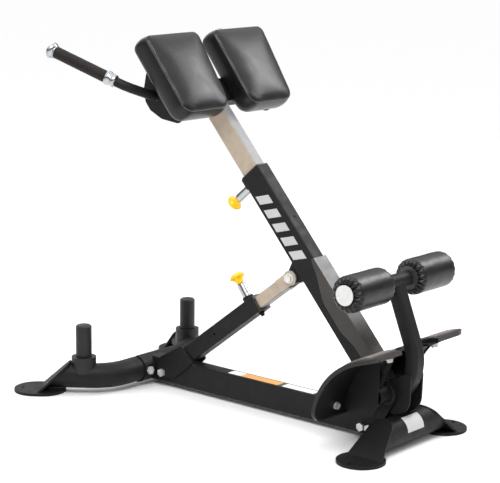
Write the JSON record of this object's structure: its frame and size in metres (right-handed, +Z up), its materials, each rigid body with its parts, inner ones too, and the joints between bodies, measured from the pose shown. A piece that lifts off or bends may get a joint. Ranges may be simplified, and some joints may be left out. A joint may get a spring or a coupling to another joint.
{
  "type": "roman chair",
  "caption": "Free-standing roman chair: tilting upright on a telescopic strut, height-adjusted hip pads with handles, curved foot plate, leg rollers and weight storage posts.",
  "frame": {"origin": "floor level at the middle of the bounding box in X and Y", "axes": "+Z up, +Y towards the heel end where the leg rollers are, the hip pads and handles lean towards -Y, +X towards the machine's left side"},
  "size_m": [0.7826, 1.2802, 1.1059],
  "materials": {
    "black_paint": "satin textured black powder coat",
    "beam_strip": "matt printed strip",
    "white_label": "matt white label",
    "dark_rubber": "matt dark grey rubber",
    "dark_plastic": "matt moulded plastic",
    "guard_grey": "warm grey moulded plastic",
    "champagne": "satin champagne coating",
    "chrome": "polished",
    "zinc": "bright zinc plated",
    "yellow_knob": "glossy yellow plastic",
    "vinyl": "black upholstery vinyl over foam",
    "board": "black backed plywood",
    "foot_skin": "warm dark grey moulded plastic",
    "tread": "worn looking warm grey tread",
    "roller_cap": "smooth white plastic"
  },
  "bodies": {
    "floor_frame": {"rear_stabilizer": "black_paint", "front_stabilizer": "black_paint", "rear_end_plates": "black_paint", "front_end_plates": "black_paint", "rear_foot_plates": "black_paint", "front_foot_plates": "black_paint", "base_beam": "black_paint", "front_saddle": "black_paint", "pivot_bracket": "black_paint", "pivot_bushes": "dark_plastic", "weight_posts": "dark_rubber", "post_caps": "dark_rubber", "post_collars": "dark_rubber", "saddle_bolts": "zinc", "bracket_bolts": "zinc", "strut_lower_bolt": "zinc", "beam_label": "beam_strip", "stabilizer_label": "white_label"},
    "strut_outer": {"strut_tube": "black_paint", "strut_lugs": "black_paint", "strut_sleeve": "dark_plastic", "strut_pin_housing": "chrome", "strut_set_screw": "black_paint"},
    "strut_pull_pin": {"strut_pin": "chrome", "strut_knob": "yellow_knob"},
    "strut_inner": {"strut_inner_tube": "champagne", "strut_ears": "champagne"},
    "upright_frame": {"upright_tube": "black_paint", "upright_sleeve": "dark_plastic", "upright_guard": "guard_grey", "strut_bracket": "black_paint", "strut_upper_bolt": "zinc", "hub_tube": "black_paint", "hub_cheeks": "black_paint", "foot_gussets": "black_paint", "heel_stays": "black_paint", "footplate": "foot_skin", "tread_pads": "tread", "footplate_bolts": "zinc", "roller_post": "black_paint", "roller_axle": "black_paint", "height_pin_housing": "chrome", "upright_label": "white_label"},
    "height_pull_pin": {"height_pin": "chrome", "height_knob": "yellow_knob"},
    "pad_carriage": {"carriage_tube": "champagne", "pad_crossbar": "black_paint", "handle_gussets": "black_paint", "pad_boards": "board", "hip_pad_left": "vinyl", "hip_pad_right": "vinyl", "handle_tubes": "black_paint", "handle_grips": "dark_rubber", "grip_collars": "chrome", "handle_caps": "chrome"},
    "roller_left_body": {"roller_left": "vinyl", "roller_left_hub": "roller_cap"},
    "roller_right_body": {"roller_right": "vinyl", "roller_right_hub": "roller_cap"}
  },
  "joints": [
    {"name": "frame_tilt", "type": "hinge", "parent": "floor_frame", "child": "upright_frame", "pos_m": [0, 0.53387, 0.15], "axis": [1, 0, 0], "range_deg": [0, 12]},
    {"name": "strut_swing", "type": "hinge", "parent": "floor_frame", "child": "strut_outer", "pos_m": [0, -0.31912, 0.043], "axis": [1, 0, 0], "range_deg": [-4.5, 0.5]},
    {"name": "strut_extend", "type": "slide", "parent": "strut_outer", "child": "strut_inner", "axis": [0, 0.7952, 0.6063], "range_m": [-0.092, 0.001]},
    {"name": "strut_pin_pull", "type": "slide", "parent": "strut_outer", "child": "strut_pull_pin", "axis": [0, -0.6063, 0.7952], "range_m": [0, 0.012], "stiffness_N_per_m": 2000},
    {"name": "height_pin_pull", "type": "slide", "parent": "upright_frame", "child": "height_pull_pin", "axis": [0, -0.7539, -0.657], "range_m": [0, 0.012], "stiffness_N_per_m": 2000},
    {"name": "pad_height", "type": "slide", "parent": "upright_frame", "child": "pad_carriage", "axis": [0, -0.657, 0.7539], "range_m": [-0.1, 0.05]},
    {"name": "roller_left_spin", "type": "hinge", "parent": "upright_frame", "child": "roller_left_body", "pos_m": [0.145, 0.52948, 0.4626], "axis": [1, 0, 0], "continuous": true},
    {"name": "roller_right_spin", "type": "hinge", "parent": "upright_frame", "child": "roller_right_body", "pos_m": [-0.145, 0.52948, 0.4626], "axis": [1, 0, 0], "continuous": true}
  ],
  "couplings": [
    {"joint": "strut_swing", "follows": "frame_tilt", "ratio": -0.30019},
    {"joint": "strut_extend", "follows": "frame_tilt", "m_per_rad": -0.42299}
  ]
}
